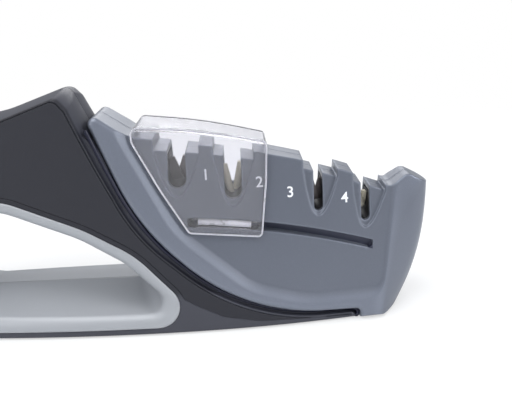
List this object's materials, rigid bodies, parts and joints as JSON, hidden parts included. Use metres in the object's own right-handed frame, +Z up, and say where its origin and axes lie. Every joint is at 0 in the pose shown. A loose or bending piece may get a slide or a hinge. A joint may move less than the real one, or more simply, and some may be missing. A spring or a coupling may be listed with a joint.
{
  "type": "knife_sharpener",
  "caption": "Hand-held pull-through knife sharpener with a looped handle, slots for standard and Asian blades, crossed carbides and ceramic rods, and a clear guard that slides over the slots.",
  "frame": {"origin": "The middle of the length and width, on the plane that the pads stand on.", "axes": "+X towards the nose, -Y to the front with the recessed panel, +Z up."},
  "size_m": [0.2282, 0.0522, 0.0958],
  "materials": {
    "silver_shell": "satin",
    "charcoal_shell": "satin",
    "soft_grip": "matte",
    "loop_grey": "satin",
    "clear_guard": "gloss",
    "holder_black": "matte",
    "carbide": "ground",
    "ceramic_rod": "matte",
    "screw_steel": "plated",
    "base_black": "matte",
    "pad_rubber": "matte"
  },
  "bodies": {
    "sharpener": {"head_front_shell": "silver_shell", "head_rear_shell": "silver_shell", "frame_front_shell": "charcoal_shell", "frame_rear_shell": "charcoal_shell", "side_grip_front": "soft_grip", "side_grip_rear": "soft_grip", "loop_liner_front": "loop_grey", "loop_liner_rear": "loop_grey", "standard_coarse_holder": "holder_black", "standard_fine_holder": "holder_black", "asian_coarse_holder": "holder_black", "asian_fine_holder": "holder_black", "standard_coarse_blade_left": "carbide", "standard_coarse_blade_right": "carbide", "asian_coarse_blade_left": "carbide", "asian_coarse_blade_right": "carbide", "standard_fine_rod_left": "ceramic_rod", "standard_fine_rod_right": "ceramic_rod", "asian_fine_rod_left": "ceramic_rod", "asian_fine_rod_right": "ceramic_rod", "base_plate": "base_black", "foot_pad_left": "pad_rubber", "foot_pad_middle": "pad_rubber", "foot_pad_right": "pad_rubber", "base_screw_left_front": "screw_steel", "base_screw_left_rear": "screw_steel", "base_screw_middle_front": "screw_steel", "base_screw_middle_rear": "screw_steel", "base_screw_right_front": "screw_steel", "base_screw_right_rear": "screw_steel", "frame_screw_top": "screw_steel", "frame_screw_left": "screw_steel", "frame_screw_right": "screw_steel"},
    "guard": {"finger_guard": "clear_guard"}
  },
  "joints": [
    {"name": "guard_slide", "type": "hinge", "parent": "sharpener", "child": "guard", "pos_m": [-0.017, 0, -0.314], "axis": [0, 1, 0], "range_deg": [0, 7.5]}
  ]
}
